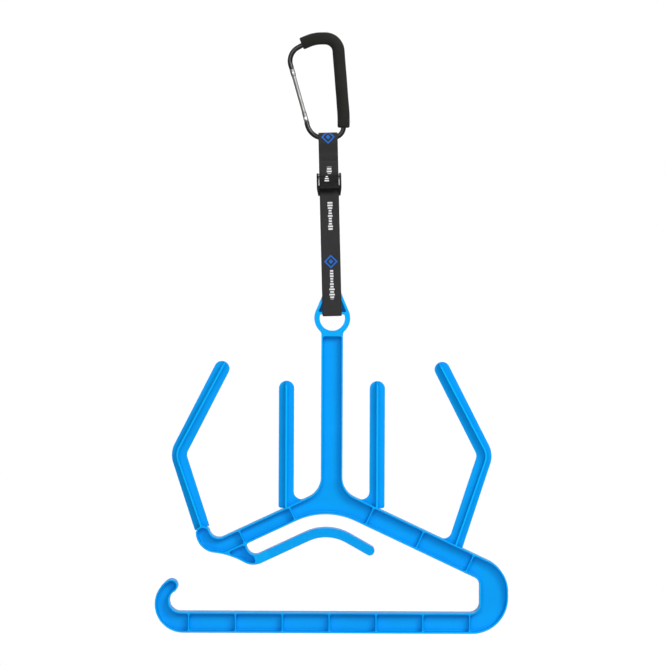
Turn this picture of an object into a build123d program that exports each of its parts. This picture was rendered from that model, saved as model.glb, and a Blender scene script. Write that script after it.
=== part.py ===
"""Wetsuit hanger: a ribbed plastic hanger on a webbing strap with a cam buckle and a carabiner.

Millimetres, +Z up. The origin is the hang point, the inner top of the carabiner, where a rail
or a roof bar carries it. The front of the hanger faces -Y. The hanger moulding is drawn flat,
with u to the right of the neck's axis and w upwards from the crest, the point where the two
upper shoulder lines would meet, and is then stood up in the XZ plane.
"""
from build123d import *
import math
import os

# ---------------------------------------------------------------- driving dimensions
NECK_X = 14.5           # the neck's axis stands this far to the right of the hang point
CREST_Z = -573.5        # height of the crest, below the hang point

DEPTH = 22.0            # front-to-back depth of the moulding
WALL = 2.2              # flanges that follow the outline
RIB = 1.8               # cross ribs
WEB = 2.6               # the web at mid depth
POCKET_CORNER = 2.4     # rounding of the pockets' corners, seen from the front
POCKET_FLOOR = 2.0      # rounding between a pocket's walls and its floor
NECK_POCKET_TOP = 196.5
RIM = 0.6               # rounding of every rim, outside and round the pockets

SLOPE = 25.1            # shoulder slope, degrees below level
SHOULDER_RIGHT = 27.4   # height of the right shoulder, square to its edge
SHOULDER_LEFT = 21.2    # height of the left shoulder, which carries the accessory arm
RIB_START = 61.3        # first shoulder rib, along the shoulder from the crest
RIB_PITCH = 71.7

NECK_W = 28.0
NECK_FILLET = 28.0
HUB_ARC = 90.0          # underside of the hub

EYE_W = 218.3           # height of the eye's centre above the crest
EYE_R = 23.3
EYE_HOLE_R = 16.4
EYE_FLAT = 4.7          # the flat top of the eye hole, above its centre
EYE_BAR = 3.0           # thickness of the flat bar that the strap hangs on
EYE_APEX_R = 9.9        # rounding of the eye's pointed top
EYE_APEX_UP = 34.3      # centre of that rounding above the eye's centre
EYE_FLANGE = 3.6
EYE_CORNER = 1.5
EYE_HOLE_CORNER = 2.2
EYE_NECK_R = 7.0

BOW_X = 229.5           # outside of the end bow
BOW_IN_X = 192.6        # inside of the end bow
BOW_TOP_R = 44.5
BOW_LOW_R = 46.8
BOW_IN_R = 12.4

BAR_TOP = -163.6        # lower bar, below the crest
BAR_LOW = -190.3
BAR_RIB_FIRST = -184.6
BAR_RIB_PITCH = 60.7
BAR_RIBS = 7

HOOK_R = 36.9           # outside of the hook at the bar's free end
HOOK_IN_R = 14.3
HOOK_TIP_R = 8.5
HOOK_X = -191.6
HOOK_TIP_TURN = 124.0   # direction of the hook's tip from the hook's centre, degrees

CURL = (-148.9, -59.6)  # centre of the left shoulder's upturned end
CURL_R = 27.0
NOTCH_R = 12.4
CURL_TIP_R = 9.2
NOTCH_S = 155.5         # the notch starts here, along the left shoulder
LOOP_S = 124.1          # the accessory arm's first bend, along the left shoulder
LOOP_R = 25.0
LOOP_BRIDGE_R = 100.0   # hollow curve between the upturned end and that bend

ARM_T = 12.2            # accessory arm
ARM_DEPTH = 45.7        # its straight start runs this far below the shoulder's upper edge
ARM_CREST_S = 26.4      # its crest, along the left shoulder
ARM_TIP = (49.9, -83.2)
ARM_BEND_R = 59.0
ARM_START_S = 110.0     # the arm leaves the bend here
SLOT_WALL_S = 133.0     # the slot's closed end, along the left shoulder
LOOP_BAY_S = 128.0      # where the bay below the upturned end stops
LOOP_CORNER = 2.6       # rounding of that bay's corners
SLOT_LOW_R = 11.0
SLOT_TOP_R = 5.0

PEG_W = 19.8            # pegs: a flat plate crossed by a fin
PEG_T = 3.0
PEG_FIN = 2.2
PEG_FIN_DEPTH = 20.0
INNER_PEG_X = 59.0
INNER_PEG_TOP = 136.6
OUTER_TIP = (143.2, 152.1)      # end of the outer peg's centreline
OUTER_BEND = (199.6, 41.5)
OUTER_BEND_R = 22.0
OUTER_LEAN = 18.1       # lower part of the outer pegs, degrees from vertical
PEG_FOOT_UP = 6.2       # the left outer peg ends this far above the centre of the upturned end's tip
PEG_GUSSET_R = 10.0
PEG_FLARE_R = 3.0
PEG_FIN_R = 9.0         # rounding of the fin's front and back at the tip
FIN_BULGE = 2.5         # the outer pegs' fins bend this far outside their plates' centrelines

EYE_CUT = 188.0         # where the moulding is divided across the neck
HUB_CUT = 14.0
SLOT_CUT = 28.4         # and between the left shoulder and the bend below it

ROD_R = 3.25            # carabiner
ROD_BENDS = (19.9, 48.0, 17.5, 200.0, 14.0, 22.0)
ROD_POINTS = (
    (-39.6, -31.7), (-45.4, -11.4), (-10.0, 8.3), (19.7, 8.3), (28.1, -92.0),
    (28.1, -119.9), (-14.8, -122.15), (-19.9, -100.9))
SLEEVE_R = 8.1
SLEEVE_BEND = 50.0
SLEEVE_FROM = (-27.0, 1.1)      # first end of the foam sleeve
SLEEVE_TO = (28.1, -107.5)
GATE_PIVOT = (-21.2, -95.8)
GATE_TOP = (-39.4, -32.4)
GATE_R = 2.6            # middle of the gate
HEAD_R = 3.5            # its top, which closes over the nose
FOOT_R = 3.3            # its foot, round the pivot
GATE_SLOT = 3.0
TANG_T = 2.6
TANG_R = 3.0
TONGUE_T = 2.4
LATCH_DROP = 4.5        # the latch pin, below the top of the gate
LATCH_R = 1.0
RIVET_R = 1.1
SPRING_BORE_R = 1.5

WEB_W = 25.0            # webbing
WEB_T = 1.6
STRAP_X = 14.2          # centre of the webbing at the eye
STRAP_FOOT = -350.5     # underside of the eye's flat bar
STRAP_LEAN = 1.57       # the strap's top leans to the left, degrees
FOLD_R = 6.2            # the webbing's loop round the carabiner
FOLD_Z = -120.9
FOLD_FOOT = -128.0      # where that loop closes
SEWN = (-138.5, -152.5)  # the webbing's end is sewn between the plies, between these heights
STITCH_ROWS = (-142.5, -148.5)
STITCHES = 8            # in each row
STITCH_PITCH = 3.0
GRIP = (-196.0, -183.0)  # the webbing lies on the buckle's base plate between these heights
TAIL = (-173.0, -151.8)  # its free tail
EYE_GAP = 0.35          # between the webbing and the eye's flat bar

BUCKLE_W = 32.0         # cam buckle
CHEEK_T = 2.6
CHEEK_R = 3.4           # rounding of the cheeks, seen from the side
CHEEK_END = (-8.5, -194.5)
BAR = (-5.0, -170.4)    # fixed bar, front to back and height
BAR_R = 2.4
PIVOT = (-15.6, -174.6)  # pin of the cam lever
PIN_R = 1.3
CAM_R = 4.0
PLATE_FRONT = -7.6      # front face of the base plate
PLATE_T = 2.0
PLATE_Z = (-183.0, -196.4)
LEVER_W = 25.4
LEVER_WAIST = (-17.4, -182.4, 1.2)      # front to back, height, radius
LEVER_LIP = (-19.4, -187.0, 1.2)
LEVER_HEEL = (-16.2, -189.8, 0.9)
SPRING_GAP = 6.4        # width of the recess in the cam that holds the lever's spring

os.makedirs("parts", exist_ok=True)
FAR = 400.0             # larger than the hanger, for cutting shapes


def node(name, shape):
    """Write one node's solids to its own file."""
    solids = shape.solids()
    body = solids[0] if len(solids) == 1 else Compound(children=list(solids))
    export_step(body, os.path.join("parts", name + ".step"))
    print(f"{name:24s} {len(solids)} solid(s)  {sum(s.volume for s in solids) / 1000:9.2f} cm3")


def stand(shape):
    """From the flat drawing of the moulding to its place in the part."""
    return Pos(NECK_X, 0, CREST_Z) * Rot(90, 0, 0) * shape


def area(*points):
    """A flat polygon, its corners given in either direction."""
    turn = sum(p[0] * q[1] - q[0] * p[1] for p, q in zip(points, points[1:] + points[:1]))
    return Polygon(*(points if turn > 0 else points[::-1]), align=None)


def on_shoulder(side, s, t):
    """A point s along the shoulder's upper edge from the crest and t square below it."""
    a = math.radians(SLOPE)
    return (side * (s * math.cos(a) - t * math.sin(a)), -s * math.sin(a) - t * math.cos(a))


def shoulder_area(side, s1, s2, t1, t2):
    """A rectangle that lies along a shoulder."""
    corners = ((s1, t1), (s2, t1), (s2, t2), (s1, t2))
    return area(*[on_shoulder(side, s, t) for s, t in corners])


def rounded(sketch, *corners):
    """Round each listed corner, given as (u, w, radius)."""
    for u, w, radius in corners:
        corner = sketch.vertices().sort_by_distance((u, w, 0))[0]
        sketch = fillet(corner, radius)
    return sketch


# ---------------------------------------------------------------- outline of the moulding
def upper_edge(u):
    return -abs(u) * math.tan(math.radians(SLOPE))


def right_loop():
    """Right shoulder, end bow and lower bar, drawn as one open band."""
    drop = SHOULDER_RIGHT / math.cos(math.radians(SLOPE))
    outer = (BOW_X, upper_edge(BOW_X))
    inner = (BOW_IN_X, upper_edge(BOW_IN_X) - drop)
    band = area(
        (0, 0), outer, (BOW_X, BAR_LOW), (HOOK_X, BAR_LOW), (HOOK_X, BAR_TOP),
        (BOW_IN_X, BAR_TOP), inner, on_shoulder(1, 0, SHOULDER_RIGHT))
    return rounded(
        band, (*outer, BOW_TOP_R), (BOW_X, BAR_LOW, BOW_LOW_R),
        (BOW_IN_X, BAR_TOP, BOW_IN_R), (*inner, BOW_IN_R))


def towards(centre, radius, point):
    """The point of a circle that lies towards another point."""
    c, p = Vector(*centre), Vector(*point)
    return c + (p - c).normalized() * radius


def polar(centre, radius, degrees):
    a = math.radians(degrees)
    return Vector(*centre) + Vector(math.cos(a), math.sin(a)) * radius


def meeting(c1, d1, c2, d2):
    """The point at distance d1 from c1 and d2 from c2, on the right of the way from c1 to c2."""
    a, b = Vector(*c1), Vector(*c2)
    gap = (b - a).length
    along = (b - a).normalized()
    x = (d1 ** 2 - d2 ** 2 + gap ** 2) / (2 * gap)
    point = a + along * x + Vector(along.Y, -along.X) * math.sqrt(d1 ** 2 - x ** 2)
    return (point.X, point.Y)


def flat(edges):
    """A flat face, front side up, from the edges round it."""
    face = make_face(edges).face()
    return Sketch() + (face if face.normal_at().Z > 0 else -face)


def arc_by(centre, radius, start, end, through):
    """Arc of a circle between two of its points, on the side of a third point."""
    return ThreePointArc(start, towards(centre, radius, through), end)


def hook():
    """Upturned hook at the free end of the lower bar."""
    centre = (HOOK_X, BAR_LOW + HOOK_R)
    tip = polar(centre, HOOK_R - HOOK_TIP_R, HOOK_TIP_TURN)
    reach = HOOK_IN_R + HOOK_TIP_R
    rise = tip.Y - BAR_TOP - HOOK_IN_R
    inner = (tip.X + math.sqrt(reach ** 2 - rise ** 2), BAR_TOP + HOOK_IN_R)
    foot, heel = (HOOK_X, BAR_LOW), (inner[0], BAR_TOP)
    outer_touch, inner_touch = polar(centre, HOOK_R, HOOK_TIP_TURN), towards(inner, HOOK_IN_R, tip)
    return flat([
        arc_by(centre, HOOK_R, foot, outer_touch, polar(centre, 1, 200)),
        arc_by(tip, HOOK_TIP_R, outer_touch, inner_touch, polar(tip, 1, 36)),
        arc_by(inner, HOOK_IN_R, inner_touch, heel, polar(inner, 1, 200)),
        Line(heel, (HOOK_X, BAR_TOP)), Line((HOOK_X, BAR_TOP), foot)])


def arm():
    """Accessory arm: a thin finger below the shoulders, bent under the hub."""
    start, crest = on_shoulder(-1, ARM_START_S, ARM_DEPTH), on_shoulder(-1, ARM_CREST_S, ARM_DEPTH)
    path = FilletPolyline(start, crest, ARM_TIP, radius=ARM_BEND_R)
    return trace(path, ARM_T) + Pos(*ARM_TIP) * Circle(ARM_T / 2)


def curl_tip():
    """Centre of the round tip of the left shoulder's upturned end."""
    notch = on_shoulder(-1, NOTCH_S, -NOTCH_R)
    return meeting(notch, NOTCH_R + CURL_TIP_R, CURL, CURL_R - CURL_TIP_R)


def left_end():
    """The left shoulder's upturned end and the bend that the accessory arm grows from."""
    low, slot_top = ARM_DEPTH + ARM_T / 2, ARM_DEPTH - ARM_T / 2
    notch = on_shoulder(-1, NOTCH_S, -NOTCH_R)
    loop = on_shoulder(-1, LOOP_S, low - LOOP_R)
    tip = curl_tip()
    hollow = meeting(CURL, CURL_R + LOOP_BRIDGE_R, loop, LOOP_R + LOOP_BRIDGE_R)
    root, brim = on_shoulder(-1, ARM_START_S, 0), on_shoulder(-1, NOTCH_S, 0)
    notch_touch, curl_touch = towards(notch, NOTCH_R, tip), towards(CURL, CURL_R, tip)
    hollow_start, hollow_end = towards(hollow, LOOP_BRIDGE_R, CURL), towards(hollow, LOOP_BRIDGE_R, loop)
    hollow_mid = (Vector(*CURL) + Vector(*loop)) * 0.5
    rest = [on_shoulder(-1, LOOP_S, low), on_shoulder(-1, ARM_START_S, low)]
    wall = [on_shoulder(-1, ARM_START_S, slot_top), on_shoulder(-1, SLOT_WALL_S, slot_top),
            on_shoulder(-1, SLOT_WALL_S, SHOULDER_LEFT), on_shoulder(-1, ARM_START_S, SHOULDER_LEFT)]
    edges = [
        Line(root, brim),
        arc_by(notch, NOTCH_R, brim, notch_touch, Vector(notch[0] - 0.6, notch[1] - 1)),
        arc_by(tip, CURL_TIP_R, notch_touch, curl_touch, Vector(tip[0], tip[1] + 1)),
        arc_by(CURL, CURL_R, curl_touch, hollow_start, Vector(CURL[0] - 1, CURL[1] - 1)),
        arc_by(hollow, LOOP_BRIDGE_R, hollow_start, hollow_end, hollow_mid),
        arc_by(loop, LOOP_R, hollow_end, rest[0], Vector(loop[0], loop[1] - 1)),
        Line(*rest), Line(rest[1], wall[0]), Line(wall[3], root)]
    slot = FilletPolyline(*wall, radius=[SLOT_LOW_R, SLOT_TOP_R])
    return flat(edges + list(slot.edges()))


def left_shoulder():
    return shoulder_area(-1, 0, ARM_START_S, 0, SHOULDER_LEFT) + left_end()


def eye():
    """Teardrop outline of the eye."""
    lean = math.acos((EYE_R - EYE_APEX_R) / EYE_APEX_UP)
    wide = [(side * EYE_R * math.sin(lean), EYE_R * math.cos(lean)) for side in (1, -1)]
    thin = [(side * EYE_APEX_R * math.sin(lean), EYE_APEX_UP + EYE_APEX_R * math.cos(lean))
            for side in (-1, 1)]
    return area(*wide, *thin) + Circle(EYE_R) + Pos(0, EYE_APEX_UP) * Circle(EYE_APEX_R)


def eye_hole():
    below = Pos(0, EYE_FLAT - FAR / 2) * Rectangle(FAR, FAR)
    return fillet((Circle(EYE_HOLE_R) & below).vertices(), EYE_HOLE_CORNER)


def outline():
    """Front view of the whole moulding without its pegs."""
    half = NECK_W / 2
    neck = area((-half, -12), (half, -12), (half, EYE_W - 14), (-half, EYE_W - 14))
    whole = right_loop() + left_shoulder() + arm() + hook() + neck + Pos(0, EYE_W) * eye()
    eye_join = EYE_W - math.sqrt(EYE_R ** 2 - half ** 2)
    hub = (SHOULDER_LEFT - SHOULDER_RIGHT) / 2
    underside = (SHOULDER_LEFT + SHOULDER_RIGHT) / 2
    a = math.radians(SLOPE)
    return rounded(
        whole, (half, upper_edge(half), NECK_FILLET), (-half, upper_edge(half), NECK_FILLET),
        (half, eye_join, EYE_NECK_R), (-half, eye_join, EYE_NECK_R),
        (hub / math.sin(a), -underside / math.cos(a), HUB_ARC))


# ---------------------------------------------------------------- pockets between the ribs
def rib_s(k):
    """Place of a shoulder rib, along the shoulder from the crest."""
    return RIB_START + k * RIB_PITCH


def bar_rib_u(k):
    return BAR_RIB_FIRST + k * BAR_RIB_PITCH


def below_shoulders():
    """Region that holds the accessory arm, up to the middle of the gap above it."""
    return area(
        on_shoulder(-1, ARM_START_S, SLOT_CUT), (-4, -43), (80, -78), (80, -130), (-60, -130),
        on_shoulder(-1, ARM_START_S, 65))


def hub_region(reach):
    """Both shoulders as far as their first ribs, plus a reach."""
    end = RIB_START + reach
    corners = [on_shoulder(1, end, t) for t in (-60, 60)] + [on_shoulder(-1, end, t) for t in (60, -60)]
    return area(*corners) - below_shoulders()


def bow_region(reach):
    """Everything to the right of the last right shoulder rib and of the last bar rib."""
    upper = area((100, -150), (FAR, -150), (FAR, 60), (100, 60))
    upper = upper & shoulder_area(1, rib_s(2) - reach, FAR, -40, FAR)
    edge = bar_rib_u(BAR_RIBS - 1) - reach
    return upper + area((edge, -150), (FAR, -150), (FAR, -250), (edge, -250))


def bar_region(first, last, reach):
    left, right = bar_rib_u(first) - reach, bar_rib_u(last) + reach
    return area((left, -150), (right, -150), (right, -250), (left, -250))


def hook_region(reach):
    edge = bar_rib_u(0) + reach
    return area((-FAR, -105), (edge, -105), (edge, -250), (-FAR, -250))


def bays():
    """Front view of each bay of the I-section, out to WALL beyond its pocket's edge."""
    lap = WALL - RIB / 2        # a bay laps over its ribs, so a rib is left RIB thick
    half = NECK_W
    neck = area((-half, 0), (half, 0), (half, NECK_POCKET_TOP), (-half, NECK_POCKET_TOP))
    regions = [hub_region(lap) + neck, bow_region(lap), hook_region(lap)]
    for k in (0, 1):
        regions.append(shoulder_area(1, rib_s(k) - lap, rib_s(k + 1) + lap, -9, SHOULDER_RIGHT + 5))
    regions.append(shoulder_area(-1, rib_s(0) - lap, rib_s(1) + lap, -9, SHOULDER_LEFT))
    regions.append(shoulder_area(-1, rib_s(1) - lap, 215, -90, SHOULDER_LEFT))
    for k in range(BAR_RIBS - 1):
        regions.append(bar_region(k, k + 1, lap))
    whole = outline()
    return [whole & region for region in regions]


def loop_bay():
    """The bay below the upturned end; it stops short of the arm, which is solid."""
    return outline() & shoulder_area(-1, LOOP_BAY_S, 215, SHOULDER_LEFT - WALL, 62)


def eye_bay():
    """The recess above the flat bar of the eye."""
    upper = Pos(0, EYE_FLAT + EYE_BAR - WALL + FAR / 2) * Rectangle(FAR, FAR)
    flange = offset(eye(), WALL - EYE_FLANGE, kind=Kind.ARC)
    return Pos(0, EYE_W) * (flange & upper)


def pocket(bay, corner, floor):
    """Tool that hollows one bay from the front, with rounded corners and floor."""
    core = offset(bay, -(WALL + corner), kind=Kind.ARC)
    cell = offset(core, corner, kind=Kind.ARC)
    tool = extrude(cell, DEPTH)
    tool = fillet(tool.faces().sort_by(Axis.Z)[0].edges(), floor)
    return Pos(0, 0, WEB / 2) * tool


# ---------------------------------------------------------------- the moulding
def moulding():
    """I-section moulding: pockets front and back, the eye hole, and rounded rims."""
    front = outline() - Pos(0, EYE_W) * eye_hole()
    blank = extrude(front, DEPTH / 2, both=True)
    tools = [pocket(bay, POCKET_CORNER, POCKET_FLOOR) for bay in bays()]
    tools.append(pocket(loop_bay(), LOOP_CORNER, LOOP_CORNER - 0.2))
    tools.append(pocket(eye_bay(), EYE_CORNER, EYE_CORNER - 0.1))
    body = blank - tools - [mirror(tool, Plane.XY) for tool in tools]
    rims = body.edges().filter_by(lambda e: abs(abs(e.center().Z) - DEPTH / 2) < 1e-4)
    return fillet(rims, RIM)


def sections():
    """The moulding is one piece, written as the straight and bent lengths it is made of."""
    half = NECK_W + 12
    below_hub_cut = area((-FAR, HUB_CUT), (FAR, HUB_CUT), (FAR, -FAR), (-FAR, -FAR))
    bend = shoulder_area(-1, rib_s(1), 215, -90, 70)
    bend += shoulder_area(-1, ARM_START_S, rib_s(1), SLOT_CUT, 70)
    return {
        "frame_eye": area((-half, EYE_CUT), (half, EYE_CUT), (half, 300), (-half, 300)),
        "frame_neck": area((-half, HUB_CUT), (half, HUB_CUT), (half, EYE_CUT), (-half, EYE_CUT)),
        "frame_hub": hub_region(0) & below_hub_cut,
        "frame_shoulder_left": shoulder_area(-1, rib_s(0), rib_s(1), -9, SLOT_CUT),
        "frame_shoulder_right": shoulder_area(1, rib_s(0), rib_s(2), -9, SHOULDER_RIGHT + 5),
        "frame_end_bow": bow_region(0),
        "frame_lower_bar": bar_region(0, BAR_RIBS - 1, 0),
        "frame_bar_hook": hook_region(0),
        "frame_shoulder_curl": bend,
        "frame_accessory_arm": below_shoulders()}


def peg(points, bends, fin_points, gussets):
    """A flat peg crossed by a fin, standing on the moulding; gussets are (u, w, radius)."""
    foot = outline()
    tip = Vector(*points[0])
    path, fin_path = Polyline(*points), Polyline(*fin_points)
    if bends:
        path = FilletPolyline(*points, radius=bends)
        fin_path = FilletPolyline(*fin_points, radius=bends)
    plate = trace(path, PEG_W) + Pos(tip.X, tip.Y) * Circle(PEG_W / 2)
    plate = rounded(plate + foot, *gussets) - foot
    plate = plate.faces().sort_by(SortBy.AREA)[-1]
    rib = (trace(fin_path, PEG_FIN) - foot).faces().sort_by(SortBy.AREA)[-1]
    fin = extrude(rib, PEG_FIN_DEPTH / 2, both=True)
    ends = [fin.edges().sort_by_distance((*fin_points[0], z))[0] for z in (-FAR, FAR)]
    return stand(extrude(plate, PEG_T / 2, both=True) + fillet(ends, PEG_FIN_R))


def inner_peg(side):
    """Upright peg beside the neck, with a gusset on the neck's side."""
    u = side * INNER_PEG_X
    base = (u, upper_edge(u) - 1)
    near, far = u - side * PEG_W / 2, u + side * PEG_W / 2
    gussets = ((near, upper_edge(near), PEG_GUSSET_R), (far, upper_edge(far), PEG_FLARE_R))
    return peg(((u, INNER_PEG_TOP - PEG_W / 2), base), None, ((u, INNER_PEG_TOP), base), gussets)


def outer_points(drop, bulge):
    """Tip, elbow and foot of the right outer peg, down to a height."""
    lean = math.tan(math.radians(OUTER_LEAN))
    u, w = OUTER_BEND[0] + bulge, OUTER_BEND[1]
    return [OUTER_TIP, (u, w), (OUTER_BEND[0] - (w - drop) * lean, drop)]


def outer_fin(points):
    """The fin's points: it runs on to the very tip of the peg."""
    elbow, tip = Vector(*points[1]), Vector(*points[0])
    end = tip + (tip - elbow).normalized() * (PEG_W / 2 - 0.2)
    return [(end.X, end.Y)] + points[1:]


def outer_peg_right():
    """Bent peg that stands on the right shoulder."""
    drop = upper_edge(OUTER_BEND[0])
    gusset = OUTER_BEND[0] - (OUTER_BEND[1] - drop) * math.tan(math.radians(OUTER_LEAN))
    corner = gusset - PEG_W / 2
    return peg(
        outer_points(drop, 0), OUTER_BEND_R, outer_fin(outer_points(drop, FIN_BULGE)),
        ((corner, upper_edge(corner), PEG_GUSSET_R),))


def outer_peg_left():
    """Bent peg that stands on the tip of the left shoulder's upturned end."""
    drop = curl_tip()[1] + PEG_FOOT_UP
    mirrored = [[(-u, w) for u, w in points]
                for points in (outer_points(drop, 0), outer_fin(outer_points(drop, FIN_BULGE)))]
    return peg(mirrored[0], OUTER_BEND_R, mirrored[1], ())


# ---------------------------------------------------------------- carabiner
def rod(points, bends, radius):
    """Round rod along a bent line that is drawn in the XZ plane."""
    path = FilletPolyline(*points, radius=list(bends))
    start = Plane(origin=path @ 0, z_dir=path % 0)
    return Rot(90, 0, 0) * sweep(start * Circle(radius), path=path)


def across(x, z, radius, width, centre=0):
    """Round pin that runs front to back."""
    return Pos(x, centre, z) * Rot(90, 0, 0) * Cylinder(radius, width)


def gate_place():
    """The gate's own frame: its pivot at the origin and its length along +Z."""
    run = (GATE_TOP[0] - GATE_PIVOT[0], GATE_TOP[1] - GATE_PIVOT[1])
    return Pos(GATE_PIVOT[0], 0, GATE_PIVOT[1]) * Rot(0, math.degrees(math.atan2(*run)), 0)


GATE_LEN = math.dist(GATE_TOP, GATE_PIVOT)


def carabiner_body():
    """Bent rod, with a flat tang that carries the gate and a hooked tongue at the nose."""
    tang = across(0, 0, TANG_R, TANG_T) + Pos(0, 0, -TANG_R) * Box(2 * TANG_R, TANG_T, 2 * TANG_R)
    notch_z = GATE_LEN - LATCH_DROP
    tongue = Pos(0, 0, GATE_LEN - 2.5) * Box(4.6, TONGUE_T, 10.6)
    tongue = fillet(tongue.edges().filter_by(Axis.Y).group_by(Axis.Z)[0], 1.6)
    catch = LATCH_R + 0.25
    notch = across(0, notch_z, catch, 6) + Pos(3, 0, notch_z) * Box(6, 6, 2 * catch)
    hole = across(0, 0, RIVET_R, 6)
    return rod(ROD_POINTS, ROD_BENDS, ROD_R) + gate_place() * (tang + tongue - notch) - gate_place() * hole


def carabiner_sleeve():
    """Foam tube over the top and down the back of the rod."""
    points = [SLEEVE_FROM, *ROD_POINTS[2:5], SLEEVE_TO]
    tube = rod(points, (SLEEVE_BEND, *ROD_BENDS[2:4]), SLEEVE_R)
    return tube - rod(ROD_POINTS, ROD_BENDS, ROD_R + 0.03)


def gate():
    """Straight round gate, wider and slotted at both ends, with a bore for its spring."""
    side = area(
        (0, -FOOT_R), (FOOT_R, -FOOT_R), (FOOT_R, 6.5), (GATE_R, 8.5), (GATE_R, GATE_LEN - 9.5),
        (HEAD_R, GATE_LEN - 8), (HEAD_R, GATE_LEN), (0, GATE_LEN))
    bar = revolve(Plane.XZ * side, Axis.Z)
    front = Pos(0, GATE_LEN / 2) * Rectangle(2 * HEAD_R, GATE_LEN) + Circle(FOOT_R)
    bar = bar & extrude(Plane.XZ * front, 2 * HEAD_R, both=True)
    bar = fillet(bar.faces().sort_by(Axis.Z)[-1].edges(), 0.6)
    bar -= Pos(0, 0, 1.5) * Box(8, GATE_SLOT, 11) + Pos(0, 0, GATE_LEN - 4) * Box(8, GATE_SLOT, 10)
    bar -= Pos(0, 0, 15) * Cylinder(SPRING_BORE_R, 20) + across(0, 0, RIVET_R + 0.15, 8)
    return gate_place() * (bar - across(0, GATE_LEN - LATCH_DROP, LATCH_R, 8))


def gate_spring():
    coil = Helix(pitch=1.9, height=13.3, radius=1.1)
    wire = sweep(Plane(origin=coil @ 0, z_dir=coil % 0) * Circle(0.2), path=coil, is_frenet=True)
    return gate_place() * Pos(0, 0, 10.6) * wire


def gate_follower():
    """Small plunger between the spring and the tang."""
    return gate_place() * Pos(0, 0, 6.7) * Cylinder(1.2, 6.8)


# ---------------------------------------------------------------- strap and buckle
def lean(shape):
    """From the upright drawing of the strap to its slight lean."""
    return Pos(STRAP_X, 0, STRAP_FOOT) * Rot(0, -STRAP_LEAN, 0) * Pos(0, 0, -STRAP_FOOT) * shape


def side_view(sketch, width):
    """A side view, drawn front to back and upwards, given its width."""
    return extrude(Plane.YZ * sketch, width / 2, both=True)


def hull_of(*circles):
    """Convex outline round circles given as (y, z, radius)."""
    return make_hull([e for y, z, r in circles for e in (Pos(y, z) * Circle(r)).edges()])


def strap_line():
    """The webbing's path, from its sewn end round the buckle, carabiner and eye to its free tail."""
    y, z = BAR
    turn = BAR_R + 0.2 + WEB_T / 2
    ply = WEB_T + 0.1
    side = DEPTH / 2 + EYE_GAP + WEB_T / 2
    under = STRAP_FOOT - EYE_GAP - WEB_T / 2 - 0.3
    apex_z = CREST_Z + EYE_W + EYE_APEX_UP + EYE_APEX_R + 2
    grip = PLATE_FRONT - 0.2 - WEB_T / 2
    tail = y - turn - ply - 0.3
    behind = FilletPolyline((0, SEWN[0]), (0, SEWN[1]), (y + turn, z + 8.4), (y + turn, z), radius=14)
    front = FilletPolyline(
        (y - turn, z), (y - turn, z + 4.4), (-ply, SEWN[1]), (-ply, SEWN[0]), (-FOLD_R, FOLD_FOOT),
        (-FOLD_R, FOLD_Z), radius=[5, 12, 12, 6])
    rest = FilletPolyline(
        (FOLD_R, FOLD_Z), (FOLD_R, FOLD_FOOT), (ply, SEWN[0]), (ply, SEWN[1]), (side, apex_z),
        (side, under), (-side, under), (-side, apex_z), (grip, GRIP[0]), (grip, GRIP[1]),
        (tail, TAIL[0]), (tail, TAIL[1]), radius=[6, 12, 60, 60, 1.6, 1.6, 60, 20, 12, 10])
    return [
        behind, ThreePointArc((y + turn, z), (y, z - turn), (y - turn, z)), front,
        ThreePointArc((-FOLD_R, FOLD_Z), (0, FOLD_Z + FOLD_R), (FOLD_R, FOLD_Z)), rest]


def strap_webbing():
    band = Sketch()
    for stretch in strap_line():
        band += trace(stretch, WEB_T)
    print(f"webbing length {sum(s.length for s in strap_line()):.0f} mm")
    return lean(side_view(band, WEB_W))


def strap_stitching():
    """Two rows of stitches through the three plies below the carabiner."""
    columns = [(k - (STITCHES - 1) / 2) * STITCH_PITCH for k in range(STITCHES)]
    stitch = Box(1.9, 3 * WEB_T + 0.8, 0.5)
    return lean(Compound(children=[Pos(x, 0, z) * stitch for z in STITCH_ROWS for x in columns]))


def buckle_body():
    """Two cheeks joined by the base plate that the webbing is pressed against."""
    cheek = hull_of((*BAR, CHEEK_R), (*PIVOT, CHEEK_R), (*CHEEK_END, CHEEK_R - 1))
    half, inner = BUCKLE_W / 2, BUCKLE_W / 2 - CHEEK_T
    top, foot = BAR[1] + FAR / 8, CHEEK_END[1] - CHEEK_R
    front = area((-half, top), (half, top), (half, foot + 10), (inner + 0.8, foot),
                 (-inner - 0.8, foot), (-half, foot + 10))
    frame = side_view(cheek, BUCKLE_W) & extrude(Plane.XZ * front, FAR, both=True)
    frame = fillet(frame.edges().filter_by(lambda e: abs(e.center().X) > inner), 0.5)
    frame -= side_view(Rectangle(FAR, 2 * FAR), 2 * inner)
    plate_y, plate_z = PLATE_FRONT + PLATE_T / 2, (PLATE_Z[0] + PLATE_Z[1]) / 2
    frame += Pos(0, plate_y, plate_z) * Box(2 * inner + 1, PLATE_T, PLATE_Z[0] - PLATE_Z[1])
    return lean(frame - side_view(Pos(*BAR) * Circle(BAR_R) + Pos(*PIVOT) * Circle(PIN_R), BUCKLE_W + 1))


def buckle_bar():
    return lean(side_view(Pos(*BAR) * Circle(BAR_R), BUCKLE_W))


def buckle_pin():
    return lean(side_view(Pos(*PIVOT) * Circle(PIN_R), BUCKLE_W))


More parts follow.
